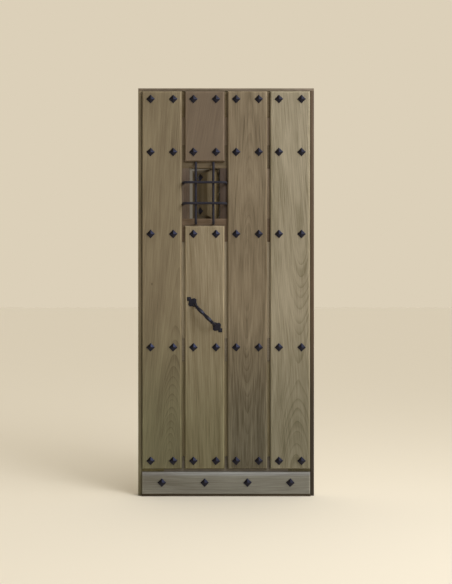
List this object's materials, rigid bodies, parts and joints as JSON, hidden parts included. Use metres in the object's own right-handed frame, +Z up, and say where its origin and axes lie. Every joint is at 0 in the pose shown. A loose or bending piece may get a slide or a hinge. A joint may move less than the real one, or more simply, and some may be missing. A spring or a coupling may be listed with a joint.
{
  "type": "plank door",
  "caption": "Rustic wooden plank door in a slim frame, with pyramid nail heads, a barred peephole with a swinging shutter, and a diagonal forged pull.",
  "frame": {"origin": "middle of the threshold's underside, on the floor, in the front plane of the frame", "axes": "+Z up; +X to the right seen from outside; -Y out of the planked face, toward the viewer"},
  "size_m": [0.906, 0.2379, 2.1],
  "materials": {
    "frame_iroko": "waxed, weathered",
    "framing_iroko": "waxed, weathered",
    "panel_iroko": "waxed, weathered",
    "plank_iroko": "waxed, weathered",
    "wrought_iron": "forged black",
    "hinge_steel": "plain steel"
  },
  "bodies": {
    "frame": {"lock_jamb": "frame_iroko", "hinge_jamb": "frame_iroko", "head": "frame_iroko", "threshold": "frame_iroko", "hinge_top_jamb_leaf": "hinge_steel", "hinge_middle_jamb_leaf": "hinge_steel", "hinge_bottom_jamb_leaf": "hinge_steel", "hinge_pins": "hinge_steel", "jamb_hinge_screws": "hinge_steel", "bolt_keeper": "wrought_iron"},
    "leaf": {"lock_stile": "framing_iroko", "hinge_stile": "framing_iroko", "top_rail": "framing_iroko", "upper_rail": "framing_iroko", "window_rail": "framing_iroko", "middle_rail": "framing_iroko", "bottom_rail": "framing_iroko", "window_stile_left": "framing_iroko", "window_stile_right": "framing_iroko", "top_panel": "panel_iroko", "side_panel_left": "panel_iroko", "side_panel_right": "panel_iroko", "middle_panel": "panel_iroko", "lower_panel": "panel_iroko", "plank_1": "plank_iroko", "plank_2_upper": "plank_iroko", "plank_2_lower": "plank_iroko", "plank_3": "plank_iroko", "plank_4": "plank_iroko", "kickboard": "plank_iroko", "plank_nails": "wrought_iron", "kickboard_nails": "wrought_iron", "hinge_top_door_leaf": "hinge_steel", "hinge_middle_door_leaf": "hinge_steel", "hinge_bottom_door_leaf": "hinge_steel", "door_hinge_screws": "hinge_steel", "grille_bar_left": "wrought_iron", "grille_bar_right": "wrought_iron", "grille_bar_upper": "wrought_iron", "grille_bar_lower": "wrought_iron", "handle_bar": "wrought_iron", "handle_plate_upper": "wrought_iron", "handle_plate_lower": "wrought_iron", "handle_nails": "wrought_iron", "bolt_plate": "wrought_iron", "bolt_screws": "wrought_iron", "shutter_hinge_top_fixed_leaf": "hinge_steel", "shutter_hinge_bottom_fixed_leaf": "hinge_steel", "shutter_hinge_pins": "hinge_steel", "fixed_leaf_screws": "hinge_steel", "button_pivot": "wrought_iron"},
    "bolt": {"bolt_bar": "wrought_iron"},
    "shutter": {"shutter_board": "framing_iroko", "shutter_panel": "plank_iroko", "shutter_lath": "plank_iroko", "shutter_nails": "wrought_iron", "shutter_hinge_top_leaf": "hinge_steel", "shutter_hinge_bottom_leaf": "hinge_steel", "shutter_screws": "hinge_steel"},
    "button": {"shutter_button": "wrought_iron"}
  },
  "joints": [
    {"name": "leaf_swing", "type": "hinge", "parent": "frame", "child": "leaf", "pos_m": [0.4335, 0.0515, 1.05], "axis": [0, 0, -1], "range_deg": [0, 105]},
    {"name": "bolt_slide", "type": "slide", "parent": "leaf", "child": "bolt", "axis": [-1, 0, 0], "range_m": [0, 0.018]},
    {"name": "shutter_swing", "type": "hinge", "parent": "leaf", "child": "shutter", "pos_m": [-0.03209, 0.0515, 1.558], "axis": [0, 0, -1], "range_deg": [-40, 60]},
    {"name": "button_turn", "type": "hinge", "parent": "leaf", "child": "button", "pos_m": [-0.22159, 0.061, 1.558], "axis": [0, 1, 0], "range_deg": [0, 90]}
  ]
}
